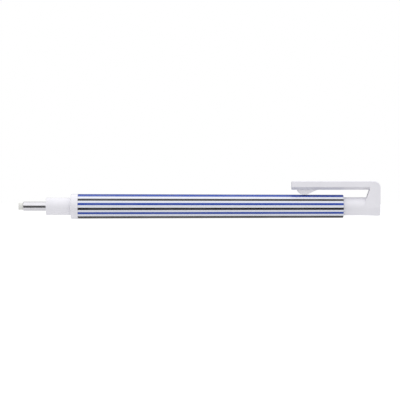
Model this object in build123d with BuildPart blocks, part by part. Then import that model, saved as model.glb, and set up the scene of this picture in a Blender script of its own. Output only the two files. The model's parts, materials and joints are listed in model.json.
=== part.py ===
from build123d import *
import os
from math import asin, cos, degrees, pi, radians, sin, sqrt, tan

# Push-button eraser stick. It lies along X: the eraser tip points to -X, the push cap to +X, and
# the clip is on top, towards +Z. The origin is on the axis, at the mouth of the guide sleeve.
# Lengths are in millimetres. Diameters grow outwards from the core: each bore is the piece inside
# it plus a clearance, and each outside is that bore plus a wall.

# Eraser core, a standard round refill
core_d = 2.3
core_l = 88.0
core_out_l = 1.56
core_edge_r = 0.18

# Clearances on the radius
guide_clear = 0.05
brake_clear = 0.02
grip_clear = 0.03
tube_clear = 0.25
seat_clear = 0.02
slide_clear = 0.06

# Gap along X between flat faces that move apart
face_gap = 0.05

# Guide sleeve, drawn from steel tube
sleeve_wall = 0.30
sleeve_out_l = 7.59
sleeve_step = 0.20
sleeve_flange_l = 1.0
sleeve_lip_share = 0.8

# Rubber brake that holds the core while the jaws are open
brake_l = 2.0

# Button travel, and the room in front of the jaws when it is fully pressed
press_travel = 4.0
press_spare_l = 1.0
stop_gap = 0.2

# Chuck: three jaws on a tubular shank
jaw_count = 3
jaw_slit_deg = 14.0
jaw_head_wall = 0.82
jaw_neck_wall = 0.42
jaw_head_l = 0.8
jaw_cone_l = 2.4
jaw_neck_l = 8.6
jaw_lift = 0.17
head_clear = 0.13

# Ring that closes the jaws
ring_l = 1.8
ring_seat_share = 0.5

# Nose: spigot, flange and the tenon inside the barrel
nose_wall = 0.57
nose_lip_l = 2.6
spigot_l = 8.20
spigot_edge_r = 0.25
flange_l = 2.38
flange_proud = 0.06
flange_edge_r = 0.30
flange_back_edge = 0.12
tenon_l = 9.0
brake_seat_step = 0.18

# Chuck sleeve: fixed in the nose, it stops the ring and carries the spring
chuck_sleeve_clear = 0.15
boss_wall = 0.27
boss_l = 5.0
collar_l = 1.2

# Return spring
wire_d = 0.40
spring_turns = 8
spring_clear = 0.10
spring_seat_gap = 0.03

# Connector between the chuck and the refill tube
connector_rim = 0.08
shank_socket_l = 5.0
connector_web_l = 0.8
tube_socket_l = 4.5

# Refill tube
refill_wall = 0.45
refill_recess_l = 4.9

# Barrel, slightly tapered
barrel_l = 87.70
barrel_front_wall = 1.00
barrel_rear_wall = 0.76
barrel_front_edge = 0.10
barrel_rear_edge_r = 0.20
ledge_l = 2.5
ledge_step = 0.30

# Push cap: a tube with a block that carries the clip
cap_wall = 1.12
cap_insert_l = 12.9
cap_neck_l = 6.73
cap_block_l = 5.5
cap_hollow_l = 10.0
cap_front_lean_deg = 17.5
cap_rear_lean_deg = 1.3
cap_corner_r = 1.9
cap_edge_r = 0.35

# Clip arm and the bump under its free end
clip_gap_h = 1.69
clip_t = 2.87
clip_l = 25.7
clip_top_r = 0.35
clip_under_r = 0.80
clip_end_r = 0.45
bump_set_l = 1.85
bump_nose_l = 1.79
bump_flat_l = 1.32
bump_slope_l = 3.41
bump_w = 3.6
bump_clear = 0.06

# Radii, from the core outwards
core_r = core_d / 2
sleeve_bore_r = core_r + guide_clear
sleeve_r = sleeve_bore_r + sleeve_wall
sleeve_root_r = sleeve_r + sleeve_step
jaw_bore_r = core_r + grip_clear
jaw_head_r = jaw_bore_r + jaw_head_wall
jaw_neck_r = jaw_bore_r + jaw_neck_wall
nose_bore_r = jaw_head_r + jaw_lift + head_clear
brake_seat_r = nose_bore_r - brake_seat_step
spigot_r = nose_bore_r + nose_wall
chuck_sleeve_bore_r = jaw_neck_r + chuck_sleeve_clear
boss_r = chuck_sleeve_bore_r + boss_wall
spring_r = boss_r + spring_clear + wire_d / 2
connector_r = spring_r + wire_d / 2 + connector_rim
refill_bore_r = core_r + tube_clear
refill_r = refill_bore_r + refill_wall
cap_bore_r = refill_r + seat_clear
cap_r = cap_bore_r + cap_wall
barrel_bore_r = cap_r + slide_clear
barrel_front_r = barrel_bore_r + barrel_front_wall
barrel_rear_r = barrel_bore_r + barrel_rear_wall
ledge_r = barrel_bore_r - ledge_step
tenon_r = barrel_bore_r - seat_clear
flange_r = barrel_front_r + flange_proud

# Stations along X, from the tip to the tail
nose_x = sleeve_out_l
flange_x = nose_x + spigot_l
barrel_x = flange_x + flange_l
barrel_end_x = barrel_x + barrel_l
sleeve_flange_x = nose_x + nose_lip_l
brake_x = sleeve_flange_x + sleeve_flange_l
brake_end_x = brake_x + brake_l
jaw_x = brake_end_x + press_spare_l + press_travel
cone_x = jaw_x + jaw_head_l
neck_x = cone_x + jaw_cone_l
jaw_root_x = neck_x + jaw_neck_l
ring_x = cone_x + ring_seat_share * jaw_cone_l
ring_end_x = ring_x + ring_l
chuck_sleeve_x = ring_end_x + face_gap
tenon_end_x = barrel_x + tenon_l
collar_end_x = tenon_end_x + collar_l
boss_end_x = collar_end_x + boss_l
connector_x = boss_end_x + press_travel + stop_gap
shank_end_x = connector_x + shank_socket_l
refill_x = shank_end_x + connector_web_l
connector_end_x = refill_x + tube_socket_l
refill_end_x = barrel_end_x - refill_recess_l
cap_x = barrel_end_x - cap_insert_l
foot_x = barrel_end_x + cap_neck_l
tail_x = foot_x + cap_block_l
clip_under_z = barrel_rear_r + clip_gap_h
clip_top_z = clip_under_z + clip_t
clip_root_x = foot_x + clip_under_z * tan(radians(cap_front_lean_deg))
clip_end_x = clip_root_x - face_gap - clip_l

os.makedirs("parts", exist_ok=True)


def half_section(*corners, plane=Plane.XY):
    """The closed outline through (x, radius) corners, as a face to be turned about X."""
    with BuildSketch(plane) as section:
        with BuildLine():
            Polyline(*corners, close=True)
        make_face()
    return section.sketch


def barrel_radius(x):
    """Outside radius of the tapered barrel at x."""
    return barrel_front_r + (barrel_rear_r - barrel_front_r) * (x - barrel_x) / barrel_l


def save(piece, name):
    """Label a finished piece and write its STEP file."""
    piece.part.label = name
    export_step(piece.part, f"parts/{name}.step")


# Eraser core: a plain rod, its rubbing edge softened
with BuildPart() as eraser_core:
    revolve(half_section((-core_out_l, 0), (core_l - core_out_l, 0),
                         (core_l - core_out_l, core_r), (-core_out_l, core_r)), axis=Axis.X)
    fillet(eraser_core.faces().sort_by(Axis.X)[0].edges(), core_edge_r)
save(eraser_core, "eraser_core")

# Guide sleeve: thin tube with a rolled mouth, a thicker root in the nose and a flange behind it
with BuildPart() as guide_sleeve:
    revolve(half_section((0, sleeve_bore_r), (brake_x, sleeve_bore_r), (brake_x, brake_seat_r - seat_clear),
                         (sleeve_flange_x, brake_seat_r - seat_clear), (sleeve_flange_x, sleeve_root_r),
                         (nose_x, sleeve_root_r), (nose_x, sleeve_r), (0, sleeve_r)), axis=Axis.X)
    mouth = guide_sleeve.faces().sort_by(Axis.X)[0]
    fillet(mouth.edges().sort_by(SortBy.RADIUS)[-1], sleeve_lip_share * sleeve_wall)
save(guide_sleeve, "guide_sleeve")

# Rubber brake: a ring behind the sleeve's flange
with BuildPart() as core_brake:
    revolve(half_section((brake_x, core_r + brake_clear), (brake_end_x, core_r + brake_clear),
                         (brake_end_x, brake_seat_r - seat_clear), (brake_x, brake_seat_r - seat_clear)),
            axis=Axis.X)
save(core_brake, "core_brake")

# Nose: spigot and flange outside, a tenon in the barrel, and stepped bores for what it holds
with BuildPart() as nose_cone:
    revolve(half_section((nose_x, sleeve_root_r + seat_clear), (sleeve_flange_x, sleeve_root_r + seat_clear),
                         (sleeve_flange_x, brake_seat_r), (brake_end_x, brake_seat_r),
                         (brake_end_x, nose_bore_r), (tenon_end_x, nose_bore_r), (tenon_end_x, tenon_r),
                         (barrel_x, tenon_r), (barrel_x, flange_r), (flange_x, flange_r),
                         (flange_x, spigot_r), (nose_x, spigot_r)), axis=Axis.X)
    round_edges = nose_cone.edges().filter_by(GeomType.CIRCLE)
    fillet(round_edges.group_by(Axis.X)[0].sort_by(SortBy.RADIUS)[-1], spigot_edge_r)
    rim = nose_cone.edges().filter_by(GeomType.CIRCLE).group_by(SortBy.RADIUS)[-1].sort_by(Axis.X)
    fillet(rim[0], flange_edge_r)
    chamfer(rim[-1], flange_back_edge)
save(nose_cone, "nose_cone")

# Chuck jaws: three fingers with a conical head, parted by slits
jaw_arc_deg = 360 / jaw_count - jaw_slit_deg
for number in range(jaw_count):
    middle_deg = 90 + number * 360 / jaw_count
    start_plane = Plane.XY.rotated((middle_deg - jaw_arc_deg / 2, 0, 0))
    with BuildPart() as chuck_jaw:
        revolve(half_section((jaw_x, jaw_bore_r), (jaw_root_x, jaw_bore_r), (jaw_root_x, jaw_neck_r),
                             (neck_x, jaw_neck_r), (cone_x, jaw_head_r), (jaw_x, jaw_head_r),
                             plane=start_plane), axis=Axis.X, revolution_arc=jaw_arc_deg)
    save(chuck_jaw, f"chuck_jaw_{number + 1}")

# Chuck shank: the tube behind the jaws, pressed into the connector
with BuildPart() as chuck_shank:
    revolve(half_section((jaw_root_x + face_gap, jaw_bore_r), (shank_end_x, jaw_bore_r),
                         (shank_end_x, jaw_neck_r), (jaw_root_x + face_gap, jaw_neck_r)), axis=Axis.X)
save(chuck_shank, "chuck_shank")

# Chuck ring: its front edge sits on the cone of the jaws, its back meets the chuck sleeve
ring_seat_r = jaw_head_r - ring_seat_share * (jaw_head_r - jaw_neck_r)
with BuildPart() as chuck_ring:
    revolve(half_section((ring_x, ring_seat_r + grip_clear), (ring_end_x, ring_seat_r + grip_clear),
                         (ring_end_x, nose_bore_r - slide_clear), (ring_x, nose_bore_r - slide_clear)),
            axis=Axis.X)
save(chuck_ring, "chuck_ring")

# Chuck sleeve: held by its collar between the nose and the barrel's ledge, with a boss behind
# that centres the spring and stops the connector
with BuildPart() as chuck_sleeve:
    revolve(half_section((chuck_sleeve_x, chuck_sleeve_bore_r), (boss_end_x, chuck_sleeve_bore_r),
                         (boss_end_x, boss_r), (collar_end_x, boss_r), (collar_end_x, tenon_r),
                         (tenon_end_x, tenon_r), (tenon_end_x, nose_bore_r - seat_clear),
                         (chuck_sleeve_x, nose_bore_r - seat_clear)), axis=Axis.X)
save(chuck_sleeve, "chuck_sleeve")

# Return spring: one wire wound on quarter turns, each quarter two arcs that meet smoothly
coil_x = collar_end_x + spring_seat_gap + wire_d / 2
coil_l = connector_x - spring_seat_gap - wire_d / 2 - coil_x
coil_pitch = coil_l / spring_turns
quarter_count = 4 * spring_turns


def coil_point(quarter):
    """Place and direction of the wire after that many quarter turns."""
    turn = quarter * pi / 2
    place = Vector(coil_x + coil_pitch * quarter / 4, spring_r * cos(turn), spring_r * sin(turn))
    along = Vector(coil_pitch / (2 * pi), -spring_r * sin(turn), spring_r * cos(turn)).normalized()
    return place, along


with BuildPart() as return_spring:
    with BuildLine() as coil:
        for quarter in range(quarter_count):
            start, start_way = coil_point(quarter)
            end, end_way = coil_point(quarter + 1)
            chord = end - start
            both_ways = start_way + end_way
            square = 2 * start_way.dot(end_way) - 2
            reach = (chord.dot(both_ways) - sqrt(chord.dot(both_ways) ** 2 - square * chord.dot(chord))) / square
            middle = (start + start_way * reach + end - end_way * reach) * 0.5
            TangentArc(start, middle, tangent=start_way)
            TangentArc(middle, end, tangent=end - end_way * reach - middle)
    wire_path = coil.wires()[0]
    with BuildSketch(Plane(origin=coil_point(0)[0], z_dir=coil_point(0)[1])):
        Circle(wire_d / 2)
    sweep(path=wire_path)
save(return_spring, "return_spring")
print(f"return spring: least gap between turns {coil_pitch - wire_d:.2f} mm")

# Connector: the chuck's shank in front, the refill tube behind, and a web between them
with BuildPart() as chuck_connector:
    revolve(half_section((connector_x, jaw_neck_r + seat_clear), (shank_end_x, jaw_neck_r + seat_clear),
                         (shank_end_x, refill_bore_r), (refill_x, refill_bore_r), (refill_x, cap_bore_r),
                         (connector_end_x, cap_bore_r), (connector_end_x, connector_r),
                         (connector_x, connector_r)), axis=Axis.X)
save(chuck_connector, "chuck_connector")

# Refill tube: holds the spare length of the core and carries the push cap
with BuildPart() as refill_tube:
    revolve(half_section((refill_x, refill_bore_r), (refill_end_x, refill_bore_r),
                         (refill_end_x, refill_r), (refill_x, refill_r)), axis=Axis.X)
save(refill_tube, "refill_tube")

# Barrel: a tapered tube with a ledge inside that holds the mechanism
with BuildPart() as barrel:
    revolve(half_section((barrel_x, barrel_bore_r), (collar_end_x, barrel_bore_r), (collar_end_x, ledge_r),
                         (collar_end_x + ledge_l, ledge_r), (collar_end_x + ledge_l, barrel_bore_r),
                         (barrel_end_x, barrel_bore_r), (barrel_end_x, barrel_rear_r),
                         (barrel_x, barrel_front_r)), axis=Axis.X)
    end_edges = barrel.edges().filter_by(GeomType.CIRCLE).group_by(Axis.X)
    chamfer(end_edges[0].sort_by(SortBy.RADIUS)[-1], barrel_front_edge)
    fillet(end_edges[-1].sort_by(SortBy.RADIUS)[-1], barrel_rear_edge_r)
save(barrel, "barrel")

# Push cap: a block with flat sides and a round underside, its front leaning back above the tube
# that slides in the barrel; the bore grips the refill tube and ends blind
with BuildPart() as push_cap:
    with BuildSketch(Plane.YZ.offset(foot_x)):
        Circle(cap_r)
        with Locations((0, clip_top_z / 2)):
            Rectangle(2 * cap_r, clip_top_z)
    extrude(amount=tail_x - foot_x)
    with BuildSketch(Plane.XZ):
        with BuildLine():
            Polyline((foot_x, 0), (clip_root_x, clip_under_z), (clip_root_x, clip_top_z),
                     (foot_x, clip_top_z), close=True)
        make_face()
    extrude(amount=cap_r, both=True, mode=Mode.SUBTRACT)
    rear_lean = tan(radians(cap_rear_lean_deg))
    split(bisect_by=Plane(origin=(tail_x, 0, clip_top_z), z_dir=(1, 0, -rear_lean)), keep=Keep.BOTTOM)
    fillet(push_cap.edges().filter_by(Axis.Y).group_by(Axis.Z)[-1].sort_by(Axis.X)[-1], cap_corner_r)
    side_edges = push_cap.faces().filter_by(Axis.Y).edges().filter_by(lambda e: e.center().Z > clip_under_z)
    fillet(side_edges.filter_by(lambda e: e.center().X > clip_root_x), cap_edge_r)
    with BuildSketch(Plane.YZ.offset(cap_x)):
        Circle(cap_r)
    extrude(amount=foot_x - cap_x)
    with BuildSketch(Plane.YZ.offset(foot_x)):
        Circle(cap_r)
        Rectangle(2 * cap_r, cap_r, align=(Align.CENTER, Align.MAX), mode=Mode.SUBTRACT)
    extrude(amount=cap_r)
    revolve(half_section((cap_x, 0), (refill_end_x + cap_hollow_l, 0),
                         (refill_end_x + cap_hollow_l, refill_bore_r), (refill_end_x, refill_bore_r),
                         (refill_end_x, cap_bore_r), (cap_x, cap_bore_r)),
            axis=Axis.X, mode=Mode.SUBTRACT)
save(push_cap, "push_cap")

# Clip arm: a flat bar over the barrel, with a bump near its free end that presses on the barrel
bump_x = clip_end_x + bump_set_l
bump_flat_x = bump_x + bump_nose_l
bump_slope_x = bump_flat_x + bump_flat_l
bump_end_x = bump_slope_x + bump_slope_l
bump_z = barrel_radius(bump_x - press_travel) + bump_clear
with BuildPart() as clip_arm:
    with BuildSketch(Plane.XZ):
        with Locations((clip_end_x, clip_under_z)):
            Rectangle(clip_l, clip_t, align=(Align.MIN, Align.MIN))
    extrude(amount=cap_r, both=True)
    long_edges = clip_arm.edges().filter_by(Axis.X).group_by(Axis.Z)
    fillet(long_edges[-1], clip_top_r)
    fillet(long_edges[0], clip_under_r)
    fillet(clip_arm.faces().sort_by(Axis.X)[0].edges(), clip_end_r)
    with BuildSketch(Plane.XZ):
        with BuildLine():
            Line((bump_x, clip_under_z + clip_under_r), (bump_x, clip_under_z))
            TangentArc((bump_flat_x, bump_z), (bump_x, clip_under_z), tangent=(-1, 0))
            Line((bump_flat_x, bump_z), (bump_slope_x, bump_z))
            Line((bump_slope_x, bump_z), (bump_end_x, clip_under_z))
            Line((bump_end_x, clip_under_z), (bump_end_x, clip_under_z + clip_under_r))
            Line((bump_end_x, clip_under_z + clip_under_r), (bump_x, clip_under_z + clip_under_r))
        make_face()
    extrude(amount=bump_w / 2, both=True)
save(clip_arm, "clip_arm")

jaw_open_deg = degrees(asin(jaw_lift / (jaw_root_x - jaw_x)))
print(f"pen from {-core_out_l:.2f} to {tail_x:.2f} mm; clip top at {clip_top_z:.2f} mm")
print(f"jaws open by {jaw_open_deg:.2f} degrees; core may feed out by {core_l - core_out_l - neck_x:.2f} mm")
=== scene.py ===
# %% [markdown]
# A push-button eraser stick, about 120 mm long, lies on a pale table with its clip on top. The
# real pen is a printed plastic tube with a white nose, a thin steel sleeve for the eraser, and a
# white button whose side arm is the pocket clip.
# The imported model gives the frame: where each piece is, and which body it moves with. Everything
# here is in metres in that frame, so a piece goes where its node is and needs no fitting.

# %% Load the frame
import json
from math import atan2, cos, degrees, hypot, pi, radians, sin, tan

import bmesh
import bpy
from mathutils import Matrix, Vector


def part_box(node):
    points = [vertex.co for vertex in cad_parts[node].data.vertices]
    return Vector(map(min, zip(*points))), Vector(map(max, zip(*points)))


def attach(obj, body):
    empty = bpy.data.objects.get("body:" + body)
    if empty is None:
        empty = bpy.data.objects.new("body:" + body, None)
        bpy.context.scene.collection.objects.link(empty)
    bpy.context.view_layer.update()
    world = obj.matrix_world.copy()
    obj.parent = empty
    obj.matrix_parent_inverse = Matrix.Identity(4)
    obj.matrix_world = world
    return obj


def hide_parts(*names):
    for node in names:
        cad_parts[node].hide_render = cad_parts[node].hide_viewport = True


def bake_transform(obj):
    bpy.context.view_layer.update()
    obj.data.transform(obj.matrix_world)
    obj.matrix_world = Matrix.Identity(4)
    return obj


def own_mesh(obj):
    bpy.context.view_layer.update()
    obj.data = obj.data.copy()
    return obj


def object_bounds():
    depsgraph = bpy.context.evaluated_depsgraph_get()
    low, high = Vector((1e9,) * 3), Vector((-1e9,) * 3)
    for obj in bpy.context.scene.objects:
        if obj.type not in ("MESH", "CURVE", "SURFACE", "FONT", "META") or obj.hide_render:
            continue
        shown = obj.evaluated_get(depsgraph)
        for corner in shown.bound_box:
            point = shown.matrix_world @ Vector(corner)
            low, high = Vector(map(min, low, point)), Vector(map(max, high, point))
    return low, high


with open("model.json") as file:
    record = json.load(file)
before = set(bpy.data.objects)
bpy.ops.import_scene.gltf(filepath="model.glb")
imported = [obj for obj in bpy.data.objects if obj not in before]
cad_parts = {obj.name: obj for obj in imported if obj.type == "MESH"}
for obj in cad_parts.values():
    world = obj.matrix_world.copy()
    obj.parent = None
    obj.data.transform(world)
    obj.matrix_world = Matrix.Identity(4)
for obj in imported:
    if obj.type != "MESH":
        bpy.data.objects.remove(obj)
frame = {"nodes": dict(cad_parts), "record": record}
cad_box = [list(corner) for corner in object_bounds()]
mm = 0.001
print("nodes:", ", ".join(sorted(frame["nodes"])))
print("box of the pen in mm:", [[round(value / mm, 2) for value in corner] for corner in cad_box])

# %% [markdown]
# The picture is square and was taken from far away with a long lens, level with the pen. An
# orthographic camera would be simpler, but it would draw the round end of the barrel as a
# straight line, and in the picture that line is slightly bowed. So the camera keeps its
# perspective: it stands 90 cm away, and its lens follows from the width that the picture shows.

# %% Camera
camera_place = (58.5 * mm, -900 * mm, 2.1 * mm)
picture_width = 132.3 * mm
sensor_width_mm = 36
nearest_seen = 10 * mm

bpy.ops.object.camera_add(location=camera_place, rotation=(pi / 2, 0, 0))
camera = bpy.context.object
camera.data.sensor_width = sensor_width_mm
camera.data.lens = sensor_width_mm * -camera_place[1] / picture_width
camera.data.clip_start = nearest_seen
bpy.context.scene.camera = camera
bpy.context.scene.view_settings.view_transform = "Standard"
print(f"lens {camera.data.lens:.1f} mm")

# %% [markdown]
# Shader nodes are placed by code here, and a few small helpers keep that readable. The first
# makes a node, sets it up, and fills its sockets with a value or with another node's output. The
# next four each do one common sum with it. The last two turn a screen's colour into linear light,
# and open a material to put nodes in.

# %% Helpers for shader nodes
def add_node(tree, kind, inputs=None, **settings):
    """A shader node with its settings; inputs maps a socket to a value or to another output."""
    made = tree.nodes.new(kind)
    for name, value in settings.items():
        setattr(made, name, value)
    for name, value in (inputs or {}).items():
        if isinstance(value, bpy.types.NodeSocket):
            tree.links.new(value, made.inputs[name])
        else:
            made.inputs[name].default_value = value
    return made


def work_out(tree, operation, first, second=0.0):
    """The output of one Math node."""
    return add_node(tree, "ShaderNodeMath", {0: first, 1: second}, operation=operation).outputs[0]


def blend_values(tree, share, first, second):
    """The value between two values, at that share of the second."""
    inputs = {0: share, 2: first, 3: second}
    return add_node(tree, "ShaderNodeMix", inputs, data_type="FLOAT").outputs[0]


def blend_colours(tree, share, first, second):
    """The colour between two colours, at that share of the second."""
    inputs = {0: share, 6: first, 7: second}
    return add_node(tree, "ShaderNodeMix", inputs, data_type="RGBA").outputs[2]


def remap(tree, value, low, high, new_low=0.0, new_high=1.0):
    """The value, stretched from one range to another and held inside it."""
    inputs = {"Value": value, "From Min": low, "From Max": high, "To Min": new_low, "To Max": new_high}
    return add_node(tree, "ShaderNodeMapRange", inputs).outputs[0]


def srgb(red, green, blue):
    """A colour as a screen writes it, 0 to 255, as the linear values that a shader takes."""
    shares = [channel / 255 for channel in (red, green, blue)]
    linear = [share / 12.92 if share < 0.04045 else ((share + 0.055) / 1.055) ** 2.4 for share in shares]
    return [*linear, 1]


def empty_material(name):
    """A new material and its node tree, with no nodes in it yet."""
    made = bpy.data.materials.new(name)
    made.use_nodes = True
    made.node_tree.nodes.clear()
    return made, made.node_tree


print("a mid grey of 128 is", round(srgb(128, 128, 128)[0], 3), "in linear light")

# %% [markdown]
# The pen was photographed in a white tent: a wide softbox above, white all round, and a dark
# opening where the camera looks in. Lamps alone would leave the steel sleeve with nothing to
# mirror, so the world does part of the work. What the camera sees directly is plain white. What
# polished surfaces mirror is white, with the dark opening around the camera and a dimmer strip low
# behind the pen. What lights matt surfaces is a white that grows from the horizon up, because the
# tent's roof was the brightest. Heights in the tent are given as the sine of the angle.

# %% World
backdrop_seen = 1.0
fill_at_horizon = 0.79
fill_high_up = 1.35
fill_sines = (0.0, 0.38)
tent_mirrored = 1.12
behind_mirrored = 0.08
behind_top_sines = (0.50, 0.92)
opening_mirrored = 0.10
opening_top_sine = 0.34
opening_blur_sine = 0.05
opening_side_sines = (-0.55, -0.35)

world = bpy.data.worlds.new("white_tent")
world.use_nodes = True
tree = world.node_tree
tree.nodes.clear()
rays = add_node(tree, "ShaderNodeLightPath").outputs
direction = add_node(tree, "ShaderNodeTexCoord").outputs["Generated"]
sines = add_node(tree, "ShaderNodeSeparateXYZ", {"Vector": direction}).outputs
towards_opening = remap(tree, sines["Y"], *opening_side_sines, 1.0, 0.0)
below_top = remap(tree, sines["Z"], opening_top_sine - opening_blur_sine,
                  opening_top_sine + opening_blur_sine, 1.0, 0.0)
opening = work_out(tree, "MULTIPLY", towards_opening, below_top)
behind = work_out(tree, "GREATER_THAN", sines["Y"], 0.0)
low_down = remap(tree, sines["Z"], *behind_top_sines, 1.0, 0.0)
low_behind = work_out(tree, "MULTIPLY", behind, low_down)
tent = blend_values(tree, low_behind, tent_mirrored, behind_mirrored)
mirrored = blend_values(tree, opening, tent, opening_mirrored)
fill = remap(tree, sines["Z"], *fill_sines, fill_at_horizon, fill_high_up)
unseen = blend_values(tree, rays["Is Glossy Ray"], fill, mirrored)
seen = work_out(tree, "MAXIMUM", rays["Is Camera Ray"], rays["Is Transmission Ray"])
strength = blend_values(tree, seen, unseen, backdrop_seen)
background = add_node(tree, "ShaderNodeBackground", {"Color": (1, 1, 1, 1), "Strength": strength})
add_node(tree, "ShaderNodeOutputWorld", {"Surface": background.outputs[0]})
bpy.context.scene.world = world
print("world:", world.name)

# %% [markdown]
# One wide area lamp above is the softbox. A sun would be simpler, but its light has no size, and
# the soft gradients on round plastic come from a source that is wide.

# %% Softbox
softbox_size = (0.60, 0.10)
softbox_place = (0.06, 0.19, 0.41)
softbox_watts = 0.06

bpy.ops.object.light_add(type="AREA", location=softbox_place)
softbox = bpy.context.object
softbox.name = "softbox"
softbox.data.shape = "RECTANGLE"
softbox.data.size, softbox.data.size_y = softbox_size
softbox.data.energy = softbox_watts
softbox.rotation_euler = (-atan2(softbox_place[1], softbox_place[2]), 0, 0)
print("softbox", softbox_watts, "W")

# %% [markdown]
# The pen was lit from below as well: the nose is bright underneath, and the clip's underside, where
# the barrel hides the light, is dark. So the table is a plain floor just under the pen's lowest
# edge, and it glows, most in a strip under the pen. Its paint still takes a faint shadow. The
# camera sees the whole table glow, with a lift that grows with the distance, up to the white of
# the backdrop. What the steel and the shiny edges mirror of it is dimmer, and fades with the
# distance into the dim strip of the world behind it, as in the picture.

# %% Table: floor
floor_size = 6.0
floor_gap = 0.02 * mm
floor_z = cad_box[0][2] - floor_gap

bpy.ops.mesh.primitive_plane_add(size=floor_size, location=(0, 0, floor_z))
floor = bpy.context.object
floor.name = "pale_table"
print(f"table top at {floor_z / mm:.2f} mm")

# %% Table: paint and glow
floor_paint = 0.30
panel_glow = 0.68
table_glow = 0.36
panel_edge_y = (3 * mm, 8 * mm)
camera_glows = (0.72, 0.88)
camera_lift = (0.15, 1.2)
mirrored_glows = (0.44, 0.04)
mirrored_fade = (0.10, 0.60)

paint, tree = empty_material("pale_table_paint")
rays = add_node(tree, "ShaderNodeLightPath").outputs
matt = add_node(tree, "ShaderNodeBsdfDiffuse", {"Color": (floor_paint, floor_paint, floor_paint, 1)})
seen = work_out(tree, "MAXIMUM", rays["Is Camera Ray"], rays["Is Glossy Ray"])
seen = work_out(tree, "MAXIMUM", seen, rays["Is Transmission Ray"])
place = add_node(tree, "ShaderNodeTexCoord").outputs["Object"]
distance = add_node(tree, "ShaderNodeVectorMath", {0: place}, operation="LENGTH").outputs["Value"]
camera_sees = remap(tree, distance, *camera_lift, *camera_glows)
steel_sees = remap(tree, distance, *mirrored_fade, *mirrored_glows)
seen_glow = blend_values(tree, rays["Is Glossy Ray"], camera_sees, steel_sees)
axes = add_node(tree, "ShaderNodeSeparateXYZ", {"Vector": place}).outputs
beside = work_out(tree, "ABSOLUTE", axes["Y"])
unseen_glow = remap(tree, beside, *panel_edge_y, panel_glow, table_glow)
strength = blend_values(tree, seen, unseen_glow, seen_glow)
glow = add_node(tree, "ShaderNodeEmission", {"Strength": strength})
both = add_node(tree, "ShaderNodeAddShader", {0: matt.outputs[0], 1: glow.outputs[0]})
add_node(tree, "ShaderNodeOutputMaterial", {"Surface": both.outputs[0]})
floor.data.materials.append(paint)
print("table glow", panel_glow, "under the pen and", table_glow, "beside it")

# %% [markdown]
# The dark line along the steel sleeve goes on below its middle, so the table in front of the pen
# looked dark from the sleeve. A black card does that here. Only mirror rays see it, so it doesn't
# show in the picture and takes no light from the pen.

# %% Black card in front of the pen
card_near_y = -6.4 * mm
card_far_y = -400 * mm
card_length = 900 * mm
card_lift = 0.01 * mm

card_middle = (camera_place[0], (card_near_y + card_far_y) / 2, floor_z + card_lift)
bpy.ops.mesh.primitive_plane_add(size=1, location=card_middle)
card = bpy.context.object
card.name = "black_card"
card.scale = (card_length, card_near_y - card_far_y, 1)
bpy.ops.object.transform_apply(location=True, rotation=True, scale=True)
paper, tree = empty_material("black_card_paper")
dim_glow = add_node(tree, "ShaderNodeEmission", {"Strength": opening_mirrored})
add_node(tree, "ShaderNodeOutputMaterial", {"Surface": dim_glow.outputs[0]})
card.data.materials.append(paper)
card.visible_camera = card.visible_diffuse = card.visible_shadow = card.visible_transmission = False
print("black card from", card_near_y / mm, "to", card_far_y / mm, "mm in front of the axis")

# %% [markdown]
# Some marks belong to several finishes, so each is a node group that is built once. This helper
# opens a group with named sockets, and the next places a group in a material with its own values.
# Scales are in features for each metre, as Object coordinates are in metres.

# %% Helpers for effects
def start_effect(name, inputs, outputs):
    """A new node group, with the sockets of its two end nodes; inputs maps a name to a value."""
    group = bpy.data.node_groups.new(name, "ShaderNodeTree")
    add_socket = group.interface.new_socket
    add_socket("Place", in_out="INPUT", socket_type="NodeSocketVector")
    for socket_name, value in inputs.items():
        add_socket(socket_name, in_out="INPUT", socket_type="NodeSocketFloat").default_value = value
    for socket_name in outputs:
        add_socket(socket_name, in_out="OUTPUT", socket_type="NodeSocketFloat")
    given = group.nodes.new("NodeGroupInput").outputs
    return group, given, group.nodes.new("NodeGroupOutput").inputs


def use_effect(tree, group, inputs):
    """The outputs of a group that is placed in a material with its own input values."""
    return add_node(tree, "ShaderNodeGroup", inputs, node_tree=group).outputs


def add_noise(tree, place, scale, detail=2.0, roughness=0.5):
    """The value of a noise texture with that many features in a metre."""
    inputs = {"Vector": place, "Scale": scale, "Detail": detail, "Roughness": roughness}
    return add_node(tree, "ShaderNodeTexNoise", inputs).outputs[0]


def stretch_place(tree, place, scale, turn=(0, 0, 0)):
    """The coordinates, turned and then stretched, so that a pattern runs out into lines."""
    inputs = {"Vector": place, "Rotation": turn, "Scale": scale}
    return add_node(tree, "ShaderNodeMapping", inputs).outputs[0]


print("effect helpers ready")

# %% [markdown]
# The skin of an injection-moulded part shows two things. The mould's wall was spark-eroded, which
# leaves a very fine, even grain. The plastic shrinks unevenly as it cools, which leaves slow
# waves. Two noises of very different size say both, one for the light to catch and one for how
# dull the surface is.

# %% Effect: mould skin
wave_share = 0.65

mould_skin, given, wanted = start_effect("mould_skin", {"Grain": 9000.0, "Waves": 180.0},
                                         ["Height", "Dullness"])
tree = mould_skin
grain = add_noise(tree, given["Place"], given["Grain"], detail=3.0, roughness=0.6)
waves = add_noise(tree, given["Place"], given["Waves"], detail=1.0)
tree.links.new(blend_values(tree, wave_share, grain, waves), wanted["Height"])
tree.links.new(work_out(tree, "MULTIPLY", grain, waves), wanted["Dullness"])
print("effect:", mould_skin.name)

# %% [markdown]
# A pen that was carried in a case has hairline scratches that run mostly along it. Noise that is
# stretched along the pen and cut off high gives thin, broken lines. Two layers, turned a little
# against each other, keep them from looking combed.

# %% Effect: hairline scratches
along_share = 0.03
layer_turns = (radians(4), radians(-7))
line_edge = 0.05

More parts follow.
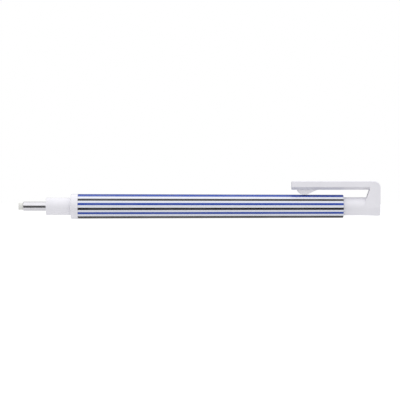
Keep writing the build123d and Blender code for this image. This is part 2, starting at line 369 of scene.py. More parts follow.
hairlines, given, wanted = start_effect("hairlines", {"Lines": 5200.0, "Rarity": 0.66}, ["Scratches"])
tree = hairlines
line_full = work_out(tree, "ADD", given["Rarity"], line_edge)
layers = []
for turn in layer_turns:
    long_place = stretch_place(tree, given["Place"], (along_share, 1, 1), (0, turn, turn / 2))
    lines = add_noise(tree, long_place, given["Lines"], detail=1.0)
    layers.append(remap(tree, lines, given["Rarity"], line_full))
tree.links.new(work_out(tree, "MAXIMUM", *layers), wanted["Scratches"])
print("effect:", hairlines.name)

# %% [markdown]
# Fingers leave a faint film in patches, and dust settles in single specks. The film is a slow
# noise with a soft edge. Each speck is the middle of a Voronoi cell, and only cells whose random
# colour is high keep theirs, so that the specks don't stand in a grid.

# %% Effect: handling
film_edge = (0.45, 0.72)
bare_cells_share = 0.72
speck_edge = (0.03, 0.07)

handling, given, wanted = start_effect("handling", {"Patches": 140.0, "Specks": 700.0},
                                       ["Film", "Dust"])
tree = handling
patches = add_noise(tree, given["Place"], given["Patches"])
tree.links.new(remap(tree, patches, *film_edge), wanted["Film"])
cells = add_node(tree, "ShaderNodeTexVoronoi", {"Vector": given["Place"], "Scale": given["Specks"]})
chance = add_node(tree, "ShaderNodeSeparateColor", {"Color": cells.outputs["Color"]}).outputs[0]
kept = work_out(tree, "GREATER_THAN", chance, bare_cells_share)
speck = remap(tree, cells.outputs["Distance"], *speck_edge, 1.0, 0.0)
tree.links.new(work_out(tree, "MULTIPLY", kept, speck), wanted["Dust"])
print("effect:", handling.name)

# %% [markdown]
# Metal that was drawn or turned keeps fine rings around its axis. A wave texture would repeat too
# evenly, so the rings are noise that changes only along the pen.

# %% Effect: tool rings
across_share = 0.01

tool_rings, given, wanted = start_effect("tool_rings", {"Rings": 6000.0}, ["Height"])
tree = tool_rings
along_only = stretch_place(tree, given["Place"], (1, across_share, across_share))
tree.links.new(add_noise(tree, along_only, given["Rings"], roughness=0.7), wanted["Height"])
print("effect:", tool_rings.name)

# %% [markdown]
# Every finish starts the same way: an empty material that reads Object coordinates, and a
# Principled shader at the end. Object coordinates are the pen's own, so a grain has its true size
# on a large piece and on a small one.

# %% Helpers for finishes
def start_finish(name):
    """An empty material, its node tree and its Object coordinates."""
    finish, tree = empty_material(name)
    return finish, tree, add_node(tree, "ShaderNodeTexCoord").outputs["Object"]


def tint_by(tree, mark, strength, colour, tint):
    """The colour, with that strength of the tint where the mark is full."""
    return blend_colours(tree, work_out(tree, "MULTIPLY", mark, strength), colour, tint)


def end_finish(tree, inputs, height, relief):
    """The Principled shader with its inputs, and a bump of that many metres from the height."""
    bump = add_node(tree, "ShaderNodeBump", {"Height": height, "Distance": relief, "Strength": 1.0})
    shader = add_node(tree, "ShaderNodeBsdfPrincipled", {**inputs, "Normal": bump.outputs[0]})
    add_node(tree, "ShaderNodeOutputMaterial", {"Surface": shader.outputs[0]})


print("finish helpers ready")

# %% [markdown]
# The barrel is a white tube with lines printed along it, in which blue and charcoal take turns.
# Seen from the side the lines and the white between them look equally wide, so the ones on top
# and below are wider round the tube. Such lines are printed on the tube and lacquered. They could
# be separate strips of mesh, but ink has next to no thickness, so a colour that follows the angle
# around the axis is truer. The front and the back mirror each other, so the angle is measured
# from the top down either side. A colour ramp without blending holds the lines, and its alpha
# says where there is ink.

# %% Finish: striped barrel
ink_blue = srgb(28, 66, 160)
ink_charcoal = srgb(38, 36, 39)
bare_white = srgb(221, 223, 232)
band_starts_deg = [
    (0, ink_blue), (36, bare_white), (50, ink_charcoal), (62, bare_white), (73, ink_blue),
    (84, bare_white), (96, ink_charcoal), (107, bare_white), (118, ink_blue), (130, bare_white),
    (144, ink_charcoal),
]
half_turn_deg = 180

striped_barrel, tree, place = start_finish("striped_barrel")
axes = add_node(tree, "ShaderNodeSeparateXYZ", {"Vector": place}).outputs
sideways = work_out(tree, "ABSOLUTE", axes["Y"])
angle_share = work_out(tree, "DIVIDE", work_out(tree, "ARCTAN2", sideways, axes["Z"]), pi)
ramp = add_node(tree, "ShaderNodeValToRGB", {0: angle_share})
ramp.color_ramp.interpolation = "CONSTANT"
stops = ramp.color_ramp.elements
for number, (start_deg, colour) in enumerate(band_starts_deg):
    position = start_deg / half_turn_deg
    stop = stops[number] if number < len(stops) else stops.new(position)
    stop.position = position
    stop.color = (*colour[:3], 0 if colour is bare_white else 1)
print(len(band_starts_deg), "bands of colour down each side")

# %% Finish: wear on the barrel
film_tint, film_strength = srgb(200, 203, 214), 0.05
dust_tint, dust_strength = srgb(196, 194, 190), 0.25
barrel_wear = (0.0, 1.6)
barrel_dull = (0.06, 0.20)
scratch_in_ink_share = 0.3
ink_relief = 0.006 * mm

marks = use_effect(tree, handling, {"Place": place, "Patches": 120.0, "Specks": 600.0})
scratches = use_effect(tree, hairlines, {"Place": place, "Lines": 5200.0, "Rarity": 0.68})[0]
colour = tint_by(tree, marks["Film"], film_strength, ramp.outputs["Color"], film_tint)
colour = tint_by(tree, marks["Dust"], dust_strength, colour, dust_tint)
wear = work_out(tree, "ADD", marks["Film"], scratches)
dull = remap(tree, wear, *barrel_wear, *barrel_dull)
scratch_depth = work_out(tree, "MULTIPLY", scratches, scratch_in_ink_share)
relief = work_out(tree, "SUBTRACT", ramp.outputs["Alpha"], scratch_depth)
end_finish(tree, {"Base Color": colour, "Roughness": dull, "IOR": 1.52}, relief, ink_relief)
print("finish:", striped_barrel.name)

# %% [markdown]
# Nose, button and clip are satin white plastic, very slightly violet in the picture. The mould
# skin gives the grain and an uneven dullness, and handling marks make it faintly greyer in places.

# %% Finish: satin white plastic
white_paint = srgb(228, 227, 233)
white_shade = srgb(206, 205, 212)
shade_strength = 0.16
skin_dullness = (0.1, 0.5)
white_dull = (0.30, 0.46)
scratch_dulling = 0.10
plastic_relief = 0.004 * mm

satin_white, tree, place = start_finish("satin_white")
skin = use_effect(tree, mould_skin, {"Place": place, "Grain": 9000.0, "Waves": 160.0})
marks = use_effect(tree, handling, {"Place": place, "Patches": 170.0, "Specks": 520.0})
scratches = use_effect(tree, hairlines, {"Place": place, "Lines": 4600.0, "Rarity": 0.70})[0]
dirt = work_out(tree, "ADD", marks["Film"], marks["Dust"])
colour = tint_by(tree, dirt, shade_strength, white_paint, white_shade)
dull = work_out(tree, "ADD", remap(tree, skin["Dullness"], *skin_dullness, *white_dull),
                work_out(tree, "MULTIPLY", scratches, scratch_dulling))
end_finish(tree, {"Base Color": colour, "Roughness": dull, "IOR": 1.50}, skin["Height"],
           plastic_relief)
print("finish:", satin_white.name)

# %% [markdown]
# The guide sleeve is polished steel tube. Steel has no colour of its own to paint: it is metal
# with a low roughness, and what shows is the tent and the dark opening. Rings from the drawing
# die and a few hairlines keep the reflection from being as perfect as glass.

# %% Finish: polished steel
steel_tint = srgb(232, 231, 236)
steel_film_tint, steel_film_strength = srgb(205, 203, 206), 0.25
steel_wear = (0.0, 1.8)
steel_dull = (0.07, 0.24)
scratch_in_steel_share = 0.6
steel_relief = 0.0006 * mm

bright_steel, tree, place = start_finish("bright_steel")
rings = use_effect(tree, tool_rings, {"Place": place, "Rings": 4200.0})["Height"]
scratches = use_effect(tree, hairlines, {"Place": place, "Lines": 9000.0, "Rarity": 0.64})[0]
marks = use_effect(tree, handling, {"Place": place, "Patches": 420.0, "Specks": 1500.0})
colour = tint_by(tree, marks["Film"], steel_film_strength, steel_tint, steel_film_tint)
wear = work_out(tree, "ADD", marks["Film"], scratches)
dull = remap(tree, wear, *steel_wear, *steel_dull)
scratch_depth = work_out(tree, "MULTIPLY", scratches, scratch_in_steel_share)
relief = work_out(tree, "SUBTRACT", rings, scratch_depth)
end_finish(tree, {"Base Color": colour, "Roughness": dull, "Metallic": 1.0}, relief, steel_relief)
print("finish:", bright_steel.name)

# %% [markdown]
# Eraser compound is matt and slightly warm, with a mealy surface. Where it was rubbed, graphite
# has greyed it, most at the very tip, so a grey follows the distance from the end.

# %% Finish: eraser
compound = srgb(218, 218, 215)
graphite = srgb(150, 149, 147)
meal_tint, meal_strength = srgb(190, 190, 184), 0.12
meal_per_m, lumps_per_m = 8500.0, 1400.0
meal_range = (0.3, 0.7)
eraser_dull = (0.72, 0.92)
lump_range = (0.35, 0.65)
smear_range = (0.1, 0.42)
lump_share = 0.4
core_low, core_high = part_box("eraser_core")
rubbed_l = 0.7 * mm
eraser_relief = 0.012 * mm

rubbed_eraser, tree, place = start_finish("rubbed_eraser")
meal = add_noise(tree, place, meal_per_m, detail=4.0, roughness=0.7)
lumps = add_noise(tree, place, lumps_per_m)
axes = add_node(tree, "ShaderNodeSeparateXYZ", {"Vector": place}).outputs
near_tip = remap(tree, axes["X"], core_low.x, core_low.x + rubbed_l, 1.0, 0.0)
smear = work_out(tree, "MULTIPLY", near_tip, remap(tree, lumps, *lump_range, *smear_range))
colour = tint_by(tree, meal, meal_strength, compound, meal_tint)
colour = blend_colours(tree, smear, colour, graphite)
dull = remap(tree, meal, *meal_range, *eraser_dull)
end_finish(tree, {"Base Color": colour, "Roughness": dull, "IOR": 1.45},
           blend_values(tree, lump_share, meal, lumps), eraser_relief)
print("finish:", rubbed_eraser.name)

# %% [markdown]
# The pieces inside the pen have plainer finishes, yet each has its own: dull black rubber for the
# brake, milky acetal for the chuck and its sleeves, a see-through milky tube for the refill, turned
# brass for the ring, and drawn wire for the spring. One function serves the three plastics, and
# one the two metals, because only their values differ.

# %% Helpers for finishes inside the pen
inner_film_strength = 0.5
ring_range = (0.3, 0.7)


def inner_plastic(name, colour, shade, dull, grain, relief, through=0.0):
    """A moulded plastic or rubber with its own colours, dullness range and grain."""
    finish, tree, place = start_finish(name)
    skin = use_effect(tree, mould_skin, {"Place": place, "Grain": grain, "Waves": 400.0})
    marks = use_effect(tree, handling, {"Place": place, "Patches": 300.0, "Specks": 900.0})
    tint = tint_by(tree, marks["Film"], inner_film_strength, colour, shade)
    rough = remap(tree, skin["Dullness"], *skin_dullness, *dull)
    end_finish(tree, {"Base Color": tint, "Roughness": rough, "Transmission Weight": through},
               skin["Height"], relief)
    return finish


def inner_metal(name, colour, shade, dull, rings_per_m, relief):
    """A turned or drawn metal with its own colours, dullness range and rings."""
    finish, tree, place = start_finish(name)
    rings = use_effect(tree, tool_rings, {"Place": place, "Rings": rings_per_m})["Height"]
    marks = use_effect(tree, handling, {"Place": place, "Patches": 500.0, "Specks": 1200.0})
    tint = blend_colours(tree, marks["Film"], colour, shade)
    rough = remap(tree, rings, *ring_range, *dull)
    end_finish(tree, {"Base Color": tint, "Roughness": rough, "Metallic": 1.0}, rings, relief)
    return finish


print("inner finish helpers ready")

# %% Finishes inside the pen
inner_finishes = {
    "brake_rubber": inner_plastic(
        "black_rubber", srgb(44, 43, 44), srgb(58, 57, 56),
        dull=(0.62, 0.85), grain=7000.0, relief=0.008 * mm),
    "acetal": inner_plastic(
        "milky_acetal", srgb(226, 225, 220), srgb(212, 210, 202),
        dull=(0.34, 0.52), grain=8000.0, relief=0.004 * mm),
    "clear_tube": inner_plastic(
        "milky_tube", srgb(228, 231, 234), srgb(214, 218, 222),
        dull=(0.16, 0.34), grain=5000.0, relief=0.003 * mm, through=0.45),
    "brass": inner_metal(
        "turned_brass", srgb(218, 186, 122), srgb(188, 152, 92),
        dull=(0.20, 0.38), rings_per_m=5200.0, relief=0.002 * mm),
    "spring_steel": inner_metal(
        "drawn_wire", srgb(190, 190, 194), srgb(160, 158, 158),
        dull=(0.18, 0.34), rings_per_m=7000.0, relief=0.001 * mm),
}
print("inner finishes:", ", ".join(inner_finishes))

# %% [markdown]
# Modelling by code follows the same steps as by hand: start from a primitive, go into edit mode,
# select by place, then extrude, bevel or turn what is selected. An operator acts on everything
# that is selected, so selecting always clears the old selection first.

# %% Helpers for selecting
weld = 0.001 * mm


def leave_edit():
    """Back to object mode, with nothing selected."""
    if bpy.context.object and bpy.context.object.mode == "EDIT":
        bpy.ops.object.mode_set(mode="OBJECT")
    bpy.ops.object.select_all(action="DESELECT")


def near(value, goal):
    """True if two lengths are the same to two thousandths of a millimetre."""
    return abs(value - goal) < 2 * weld


def at(x=None, y=None, z=None):
    """A test that a point passes if it has each coordinate that is given here."""
    goals = [(axis, goal) for axis, goal in enumerate((x, y, z)) if goal is not None]
    return lambda co: all(near(co[axis], goal) for axis, goal in goals)


def pick(piece, kind, test):
    """In edit mode, selects the VERT, EDGE or FACE parts whose every corner passes the test."""
    bpy.ops.mesh.select_mode(type=kind)
    bpy.ops.mesh.select_all(action="DESELECT")
    mesh = bmesh.from_edit_mesh(piece.data)
    if kind == "VERT":
        found = [vertex for vertex in mesh.verts if test(vertex.co)]
    else:
        parts = mesh.edges if kind == "EDGE" else mesh.faces
        found = [part for part in parts if all(test(vertex.co) for vertex in part.verts)]
    for part in found:
        part.select_set(True)
    bmesh.update_edit_mesh(piece.data)


print("selecting finds points to", weld / mm * 2, "mm")

# %% [markdown]
# Most of the pen is round about one axis, as if made on a lathe. A Spin or Screw modifier would
# turn an outline too, but then the rings could not be grown further into other shapes, as the
# button's is. So a ring of vertices about the axis is extruded from corner to corner of the outline.

# %% Helpers for starting a piece
def settle(name):
    """Names the primitive that was just added, and fixes its place and size in its mesh."""
    piece = bpy.context.object
    piece.name = piece.data.name = name
    bpy.ops.object.transform_apply(location=True, rotation=True, scale=True)
    return piece


def open_whole():
    """Opens the active piece for editing, with everything selected."""
    bpy.ops.object.mode_set(mode="EDIT")
    bpy.ops.mesh.select_all(action="SELECT")


def start_ring(name, corner, sides):
    """A new piece in edit mode: one selected ring about the pen's axis at an (x, radius) corner."""
    leave_edit()
    bpy.ops.mesh.primitive_circle_add(vertices=sides, radius=corner[1], location=(corner[0], 0, 0),
                                      rotation=(0, pi / 2, 0))
    piece = settle(name)
    open_whole()
    bpy.ops.mesh.select_mode(type="EDGE")
    return piece


print("starting helpers ready")

# %% Helpers for round pieces
def extrude_by(x=0, z=0):
    """Extrudes the selected edges that far along the pen and upwards."""
    bpy.ops.mesh.extrude_edges_move(TRANSFORM_OT_translate={"value": (x, 0, z)})


def draw_ring(outline):
    """Extrudes the selected ring from corner to corner of an outline of (x, radius) pairs."""
    for (start_x, start_r), (end_x, end_r) in zip(outline, outline[1:]):
        extrude_by(x=end_x - start_x)
        scale = end_r / start_r
        bpy.ops.transform.resize(value=(1, scale, scale), center_override=(end_x, 0, 0))


def tidy_mesh():
    """Merges vertices that share a place and turns all faces outwards."""
    bpy.ops.mesh.select_all(action="SELECT")
    bpy.ops.mesh.remove_doubles(threshold=weld)
    bpy.ops.mesh.normals_make_consistent(inside=False)


def turn_tube(name, outline, sides):
    """A round piece in edit mode whose outline comes back to where it starts."""
    piece = start_ring(name, outline[0], sides)
    draw_ring([*outline, outline[0]])
    tidy_mesh()
    return piece


def round_ring(piece, corner, size, steps=4):
    """Rounds the edge that runs round the pen's axis at that (x, radius) corner."""
    x, radius = corner
    pick(piece, "EDGE", lambda co: near(co.x, x) and near(hypot(co.y, co.z), radius))
    bpy.ops.mesh.bevel(offset=size, segments=steps, profile=0.5, affect="EDGES")


print("helpers for round pieces ready")

# %% [markdown]
# A finished piece is shaded smooth except at its edges, gets its finish, and is hung on the body it
# moves with. The nodes of the imported model that it stands for are hidden.

# %% Helper for finished pieces
smooth_deg = 32


def dress(piece, body, finish, nodes):
    """Smooth shading, the finish, the body to move with, and the nodes that the piece stands for."""
    leave_edit()
    piece.select_set(True)
    bpy.context.view_layer.objects.active = piece
    bpy.ops.object.shade_smooth_by_angle(angle=radians(smooth_deg))
    even = piece.modifiers.new("flat faces keep their normals", "WEIGHTED_NORMAL")
    even.keep_sharp = True
    bpy.ops.object.modifier_apply(modifier=even.name)
    piece.data.materials.append(finish)
    if body:
        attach(piece, body)
    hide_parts(*nodes)
    low, high = [[round(end(corner[axis] for corner in piece.bound_box) / mm, 2)
                  for axis in range(3)] for end in (min, max)]
    print(f"{piece.name}: {len(piece.data.polygons)} faces, from {low} to {high} mm")


print("shading stays smooth over edges up to", smooth_deg, "degrees")

# %% [markdown]
# The barrel is a tube with a slight taper, 8.1 mm thick at the nose and 7.6 mm at the button, and
# a ledge inside that holds the mechanism. It could be a cylinder with a Solidify modifier, but the
# ledge and the taper inside would need more cuts than they save. So a ring is drawn along the
# whole outline, outside to the rear and back through the bore. Then the two outer ends get their
# own roundings: the front is only broken, and the rear is softly rounded.

# %% Barrel
barrel_low, barrel_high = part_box("barrel")
barrel_front = (barrel_low.x, barrel_high.z)
barrel_rear = (barrel_high.x, 3.81 * mm)
barrel_bore_r = 3.05 * mm
ledge_r = 2.75 * mm
ledge_l = 2.5 * mm
ledge_x = 28.37 * mm
barrel_rear_round = 0.20 * mm
barrel_front_break = 0.10 * mm
mouth_break = 0.08 * mm

outline = [
    barrel_front, barrel_rear, (barrel_rear[0], barrel_bore_r), (ledge_x + ledge_l, barrel_bore_r),
    (ledge_x + ledge_l, ledge_r), (ledge_x, ledge_r), (ledge_x, barrel_bore_r),
    (barrel_front[0], barrel_bore_r),
]
barrel = turn_tube("barrel_tube", outline, sides=128)
round_ring(barrel, barrel_rear, barrel_rear_round, steps=5)
round_ring(barrel, (barrel_rear[0], barrel_bore_r), mouth_break, steps=2)
round_ring(barrel, barrel_front, barrel_front_break, steps=2)
dress(barrel, "pen", striped_barrel, ["barrel"])

# %% [markdown]
# The nose is one white moulding: a spigot in front, a flange just thicker than the barrel, and a
# tenon inside it. The nose's bore steps down towards the tip and holds the brake and the steel
# sleeve. The foot of the spigot has a small cove, which moulded corners have because a sharp one
# would crack. A bevel on an inside corner makes it.

# %% Nose
nose_low, nose_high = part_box("nose_cone")
brake_low, brake_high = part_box("core_brake")
nose_face_x, tenon_end_x, flange_r = nose_low.x, nose_high.x, nose_high.z
flange_x = 15.79 * mm
spigot_r = 2.87 * mm
tenon_r = 3.03 * mm
sleeve_seat_r = 1.72 * mm
brake_seat_r = 2.12 * mm
nose_bore_r = 2.30 * mm
sleeve_flange_l = 1.0 * mm
sleeve_step_x = brake_low.x - sleeve_flange_l

outline = [
    (nose_face_x, sleeve_seat_r), (nose_face_x, spigot_r), (flange_x, spigot_r),
    (flange_x, flange_r), (barrel_low.x, flange_r), (barrel_low.x, tenon_r),
    (tenon_end_x, tenon_r), (tenon_end_x, nose_bore_r), (brake_high.x, nose_bore_r),
    (brake_high.x, brake_seat_r), (sleeve_step_x, brake_seat_r), (sleeve_step_x, sleeve_seat_r),
]
nose_roundings = [
    ((nose_face_x, spigot_r), 0.25 * mm), ((nose_face_x, sleeve_seat_r), 0.04 * mm),
    ((flange_x, spigot_r), 0.22 * mm), ((flange_x, flange_r), 0.30 * mm),
    ((barrel_low.x, flange_r), 0.12 * mm), ((tenon_end_x, tenon_r), 0.20 * mm),
]
nose = turn_tube("nose_moulding", outline, sides=112)
for corner, size in nose_roundings:
    round_ring(nose, corner, size)
dress(nose, "pen", satin_white, ["nose_cone"])

# %% [markdown]
# The guide sleeve is drawn from steel tube. Its mouth is rolled over, so the outer edge there is a
# wide, round lip that catches a thin light. Behind the nose's face it is thicker, and a flange at
# its end keeps it from being pulled out.

# %% Guide sleeve
sleeve_low, sleeve_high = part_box("guide_sleeve")
mouth_x, sleeve_end_x = sleeve_low.x, sleeve_high.x
sleeve_bore_r = 1.20 * mm
sleeve_r = 1.50 * mm
sleeve_root_r = 1.70 * mm
lip_round = 0.22 * mm
lip_inner_round = 0.06 * mm
root_break = 0.04 * mm

outline = [
    (mouth_x, sleeve_bore_r), (mouth_x, sleeve_r), (nose_face_x, sleeve_r),
    (nose_face_x, sleeve_root_r), (sleeve_step_x, sleeve_root_r), (sleeve_step_x, sleeve_high.z),
    (sleeve_end_x, sleeve_high.z), (sleeve_end_x, sleeve_bore_r),
]
sleeve = turn_tube("guide_sleeve_tube", outline, sides=96)
round_ring(sleeve, (mouth_x, sleeve_r), lip_round, steps=6)
round_ring(sleeve, (mouth_x, sleeve_bore_r), lip_inner_round, steps=3)
round_ring(sleeve, (nose_face_x, sleeve_root_r), root_break, steps=2)
dress(sleeve, "pen", bright_steel, ["guide_sleeve"])

# %% [markdown]
# The eraser core is a plain round rod, and only 1.6 mm of it shows. Use has broken its edge, worn
# the upper side back a little more, and left it slightly uneven. The tip gets a small bevel and a
# few more rings to work with. Each vertex there moves by a small random step, which a smoothing
# step calms to shallow dents. Last come a slight tilt, and a flat end where it went too far.

# %% Eraser core
core_r = core_high.z
worn_round = 0.15 * mm
worn_tilt = radians(2)
inset_rings = 3
dent = 0.016 * mm
dent_seed = 7
worn_scales = (1.01, 0.995, 0.995)

eraser_rod = start_ring("eraser_rod", (core_low.x, core_r), sides=64)
bpy.ops.mesh.edge_face_add()
draw_ring([(core_low.x, core_r), (mouth_x, core_r), (core_high.x, core_r)])
bpy.ops.mesh.edge_face_add()
tidy_mesh()
round_ring(eraser_rod, (core_low.x, core_r), worn_round, steps=7)
pick(eraser_rod, "FACE", at(x=core_low.x))
for _ in range(inset_rings):
    bpy.ops.mesh.inset(thickness=(core_r - worn_round) / (inset_rings + 1))
bpy.ops.mesh.poke()
pick(eraser_rod, "FACE", lambda co: core_low.x + worn_round - weld < co.x < mouth_x + weld)
bpy.ops.mesh.subdivide(number_cuts=5)
pick(eraser_rod, "VERT", lambda co: co.x < mouth_x - weld)
bpy.ops.transform.vertex_random(offset=dent, uniform=0.0, normal=0.0, seed=dent_seed)
bpy.ops.mesh.vertices_smooth(factor=0.5, repeat=3)
bpy.ops.transform.resize(value=worn_scales, center_override=(mouth_x, 0, 0))
pick(eraser_rod, "VERT", lambda co: co.x < core_low.x + 2 * worn_round)
bpy.ops.transform.rotate(value=-worn_tilt, orient_axis="Y",
                         center_override=(core_low.x + worn_round, 0, -core_r))
pick(eraser_rod, "VERT", lambda co: co.x < core_low.x)
bpy.ops.transform.resize(value=(0, 1, 1), center_override=(core_low.x, 0, 0))
tidy_mesh()
dress(eraser_rod, "core", rubbed_eraser, ["eraser_core"])

# %% [markdown]
# The button is a tube that slides in the barrel, with a block behind it that has flat sides and a
# round underside. Primitives could be joined by Boolean modifiers, but the block's flat sides
# touch the tube without a step, and such touching faces are where Booleans fail. So the shape
# grows out of the tube's own end ring. The lower half of the ring is drawn back to the tail and
# down a little, the side walls are drawn up from there, and the upper half of the ring is leaned
# back to make the sloping front above the tube.

# %% Button: tube and blind bore
cap_low, cap_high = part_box("push_cap")
cap_x, tail_x, cap_r, cap_top_z = cap_low.x, cap_high.x, cap_high.y, cap_high.z
foot_x = 112.50 * mm
refill_end_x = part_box("refill_tube")[1].x
refill_seat_r = 1.87 * mm
blind_bore_r = 1.40 * mm
blind_bore_l = 10 * mm
blind_end_x = refill_end_x + blind_bore_l

outline = [
    (blind_end_x, blind_bore_r), (refill_end_x, blind_bore_r), (refill_end_x, refill_seat_r),
    (cap_x, refill_seat_r), (cap_x, cap_r), (foot_x, cap_r),
]
button = start_ring("button_moulding", outline[0], sides=64)
bpy.ops.mesh.edge_face_add()
draw_ring(outline)
print("tube from", round(cap_x / mm, 2), "to", round(foot_x / mm, 2), "mm")

# %% Button: block behind the tube
tail_drop = 0.14 * mm
front_lean = radians(20)
arm_under_z = 5.50 * mm
root_x = foot_x + arm_under_z * tan(front_lean)

pick(button, "EDGE", lambda co: near(co.x, foot_x) and co.z < weld)
extrude_by(x=tail_x - foot_x)
bpy.ops.transform.resize(value=(1, 1, 1 + tail_drop / cap_r), center_override=(tail_x, 0, 0))
pick(button, "EDGE",
     lambda co: co.x > foot_x - weld and abs(co.z) < weld and near(abs(co.y), cap_r))
extrude_by(z=arm_under_z)
pick(button, "VERT", at(x=foot_x, z=arm_under_z))
bpy.ops.transform.translate(value=(root_x - foot_x, 0, 0))
pick(button, "EDGE",
     lambda co: co.x > foot_x + weld and near(co.z, arm_under_z) and near(abs(co.y), cap_r))
extrude_by(z=cap_top_z - arm_under_z)
pick(button, "VERT", lambda co: near(co.x, foot_x) and co.z > weld)
stretch = 1 / cos(front_lean)
bpy.ops.transform.rotate(value=-front_lean, orient_axis="Y", center_override=(foot_x, 0, 0))
bpy.ops.transform.resize(value=(stretch, 1, stretch), center_override=(foot_x, 0, 0))
print("front leans", round(degrees(front_lean), 1), "degrees")

# %% Button: close the block
def on_front(co):
    """True on the sloping front between the tube's top half and the arm."""
    front_x = foot_x + max(co.z, 0) * tan(front_lean)
    return near(co.x, front_x) and -weld < co.z < arm_under_z + weld


pick(button, "VERT", at(z=cap_top_z))
bpy.ops.mesh.edge_face_add()
pick(button, "EDGE", at(x=tail_x))
bpy.ops.mesh.edge_face_add()
pick(button, "VERT", lambda co: near(co.x, root_x) and co.z > arm_under_z - weld)
bpy.ops.mesh.edge_face_add()
pick(button, "EDGE", on_front)
bpy.ops.mesh.edge_face_add()
print("closed:", all(edge.is_manifold for edge in bmesh.from_edit_mesh(button.data).edges))

# %% [markdown]
# The top rear corner gets its large rounding. The other edges get bevel weights, and one Bevel
# modifier reads them. That keeps the roundings the same wherever two of them meet, which a bevel
# done edge by edge would not. Each side has its own call, because an edge that crosses the block
# also has both its points on a side, and it has to stay as it is. So does the edge where the arm
# begins, or a notch would show there.

# %% Button: roundings
corner_round = 2.15 * mm
edge_round = 0.35 * mm


def weigh_edges(piece, share, test):
    """Gives the edges between two points that pass the test this share of the widest rounding."""
    pick(piece, "EDGE", test)
    bpy.ops.transform.edge_bevelweight(value=share)


def round_by_weight(piece, widest):
    """Rounds the weighted edges; an edge of weight one gets the widest rounding."""
    leave_edit()
    bpy.context.view_layer.objects.active = piece
    rounding = piece.modifiers.new("roundings by weight", "BEVEL")
    rounding.limit_method = "WEIGHT"
    rounding.width = widest
    rounding.segments = 6
    rounding.use_clamp_overlap = False
    bpy.ops.object.modifier_apply(modifier=rounding.name)


pick(button, "EDGE", at(x=tail_x, z=cap_top_z))
bpy.ops.mesh.bevel(offset=corner_round, segments=12, profile=0.5, affect="EDGES")
bpy.ops.mesh.select_all(action="SELECT")
bpy.ops.mesh.normals_make_consistent(inside=False)
corner_x = tail_x - corner_round
for side in (-1, 1):
    weigh_edges(button, 1.0, at(y=side * cap_r, z=cap_top_z))
    weigh_edges(button, 1.0, lambda co: near(co.y, side * cap_r) and co.x > corner_x - weld)
weigh_edges(button, 1.0, lambda co: near(co.x, tail_x) and co.z < weld)
round_by_weight(button, edge_round)
dress(button, "cap", satin_white, ["push_cap"])

# %% [markdown]
# The arm is the pocket clip. On the real pen it is one moulding with the button and bends at its
# root. Here it is a piece of its own that meets the block's face. It starts as a box. A cut along
# the sides lets the underside be narrowed, which gives the slanting band that looks dark in the
# picture. The edges are then rounded by weight, the top ones like the block's, so that the two run
# on into each other.

# %% Clip arm: box, band and roundings
arm_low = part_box("clip_arm")[0]
arm_setback = 0.18 * mm
arm_end_x = arm_low.x + arm_setback
arm_l, arm_h = root_x - arm_end_x, cap_top_z - arm_under_z
arm_middle_z = arm_under_z + arm_h / 2
band_h = 0.85 * mm
band_w = 1.10 * mm
band_y, band_top_z = cap_r - band_w, arm_under_z + band_h
band_round = 0.12 * mm
end_round = 0.22 * mm
tip_round = 0.50 * mm

leave_edit()
bpy.ops.mesh.primitive_cube_add(size=1, location=(arm_end_x + arm_l / 2, 0, arm_middle_z),
                                scale=(arm_l, 2 * cap_r, arm_h))
arm = settle("clip_arm_moulding")
open_whole()
bpy.ops.mesh.bisect(plane_co=(0, 0, band_top_z), plane_no=(0, 0, 1))
pick(arm, "VERT", at(z=arm_under_z))
bpy.ops.transform.resize(value=(1, band_y / cap_r, 1), center_override=(0, 0, arm_under_z))
weigh_edges(arm, 1.0, at(x=arm_end_x, z=cap_top_z))
weigh_edges(arm, 1.0, at(x=arm_end_x, z=arm_under_z))
for side in (-1, 1):
    weigh_edges(arm, end_round / tip_round, at(x=arm_end_x, y=side * cap_r))
    weigh_edges(arm, edge_round / tip_round, at(y=side * cap_r, z=cap_top_z))
    weigh_edges(arm, band_round / tip_round, at(y=side * cap_r, z=band_top_z))
    weigh_edges(arm, band_round / tip_round, at(y=side * band_y, z=arm_under_z))
round_by_weight(arm, tip_round)
print("arm is", round(arm_l / mm, 2), "mm long")

# %% [markdown]
# The bump under the free end presses on the barrel. Its front is a steep round, so that it rides
# up on a pocket's edge, and behind a short flat it runs out in a long slope. The underside is cut
# across at stations, the bump's footprint is extruded down, and each row of vertices is moved to
# its own depth. The first and last rows have no depth and merge with the underside again. A few
# more cuts are made across the arm near its root.

# %% Clip arm: stations of the bump
bump_start_x = 90.57 * mm
bump_flat_x = 92.83 * mm
bump_slope_x = 93.92 * mm
bump_end_x = 97.31 * mm
bump_depth = arm_under_z - arm_low.z
bump_front_l = bump_flat_x - bump_start_x
bump_front_r = (bump_front_l ** 2 + bump_depth ** 2) / (2 * bump_depth)
front_angle = atan2(bump_front_l, bump_front_r - bump_depth)
front_steps, slope_steps = 8, 4

rises = {bump_start_x: bump_depth, bump_end_x: bump_depth}
for step in range(1, front_steps):
    angle = front_angle * step / front_steps
    rises[bump_flat_x - bump_front_r * sin(angle)] = bump_front_r * (1 - cos(angle))
for step in range(1, slope_steps):
    share = step / slope_steps
    rises[bump_slope_x + (bump_end_x - bump_slope_x) * share] = bump_depth * share
print(f"bump {bump_depth / mm:.2f} mm deep, front radius {bump_front_r / mm:.2f} mm")

# %% Clip arm: bump
bump_y = 1.80 * mm
bump_edge_round = 0.22 * mm
bend_step, bend_cuts = 1.0 * mm, 10


def cut_across(piece, test, point, normal):
    """Cuts the faces that pass the test along a plane."""
    pick(piece, "FACE", test)
    bpy.ops.mesh.bisect(plane_co=point, plane_no=normal)


def in_footprint(co):
    """True on the part of the underside that the bump grows from."""
    return (near(co.z, arm_under_z) and abs(co.y) < bump_y + weld
            and bump_start_x - weld < co.x < bump_end_x + weld)


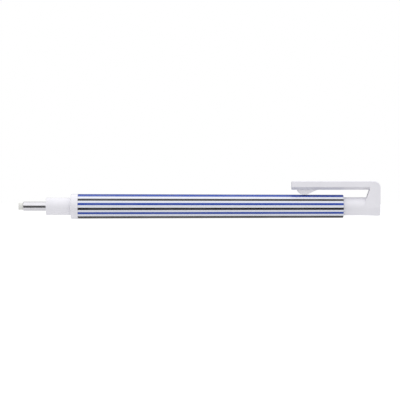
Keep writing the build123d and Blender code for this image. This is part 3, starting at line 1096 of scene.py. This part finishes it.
bpy.ops.object.mode_set(mode="EDIT")
for side in (-1, 1):
    cut_across(arm, at(z=arm_under_z), (0, side * bump_y, 0), (0, 1, 0))
for station in (*rises, bump_flat_x, bump_slope_x):
    cut_across(arm, at(z=arm_under_z), (station, 0, 0), (1, 0, 0))
pick(arm, "FACE", in_footprint)
bpy.ops.mesh.extrude_region_move(TRANSFORM_OT_translate={"value": (0, 0, -bump_depth)})
for station, rise in rises.items():
    pick(arm, "VERT", at(x=station, z=arm_low.z))
    bpy.ops.transform.translate(value=(0, 0, rise))
tidy_mesh()
pick(arm, "EDGE",
     lambda co: near(abs(co.y), bump_y) and co.z < arm_under_z - 2 * bump_edge_round)
bpy.ops.mesh.bevel(offset=bump_edge_round, segments=3, profile=0.5, affect="EDGES")
for cut in range(1, bend_cuts + 1):
    cut_across(arm, at(), (root_x - cut * bend_step, 0, 0), (1, 0, 0))
print("underside cut at", len(rises) + 2, "stations, and the root", bend_cuts, "times")

# %% [markdown]
# The arm is shaded smooth and gets its finish. It is hung on no body.

# %% Clip arm: finish
dress(arm, None, satin_white, ["clip_arm"])
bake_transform(arm)

# %% [markdown]
# The return spring pushes the button back out. It is drawn steel wire wound to a coil. A curve
# with a bevel would do as well, but a circle of wire swept by a Screw modifier gives a plain
# mesh with an even section, and both ends are then closed flat.

# %% Return spring
spring_low, spring_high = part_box("return_spring")
wire_r = 0.20 * mm
coil_r = spring_high.y - wire_r
coil_x = spring_low.x + wire_r
coil_turns, coil_sides = 8, 32
coil_pitch = (spring_high.x - wire_r - coil_x) / coil_turns

leave_edit()
bpy.ops.mesh.primitive_circle_add(vertices=12, radius=wire_r, location=(coil_x, coil_r, 0))
spring = settle("coil_wire")
sweep = spring.modifiers.new("wind the wire", "SCREW")
sweep.axis = "X"
sweep.angle = 2 * pi
sweep.screw_offset = coil_pitch
sweep.iterations = coil_turns
sweep.steps = sweep.render_steps = coil_sides
bpy.ops.object.modifier_apply(modifier=sweep.name)
open_whole()
bpy.ops.mesh.remove_doubles(threshold=weld)
bpy.ops.mesh.select_all(action="DESELECT")
bpy.ops.mesh.select_mode(type="EDGE")
bpy.ops.mesh.select_non_manifold()
bpy.ops.mesh.edge_face_add()
tidy_mesh()
dress(spring, "pen", inner_finishes["spring_steel"], ["return_spring"])
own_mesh(spring)

# %% [markdown]
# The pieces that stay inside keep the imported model's own meshes. They are turned parts with exact
# edges already, and nothing of them shows unless the pen is taken apart, so they only get their
# finishes. The record says which node has which material.

# %% Finishes on the hidden pieces
slots = {row["node"]: row["material_slot"] for row in frame["record"]["subparts"]}
hidden = [name for name in frame["nodes"] if slots[name] in inner_finishes and name != "return_spring"]
for name in hidden:
    node_mesh = frame["nodes"][name].data
    node_mesh.materials.clear()
    node_mesh.materials.append(inner_finishes[slots[name]])
print("hidden pieces with a finish:", len(hidden))
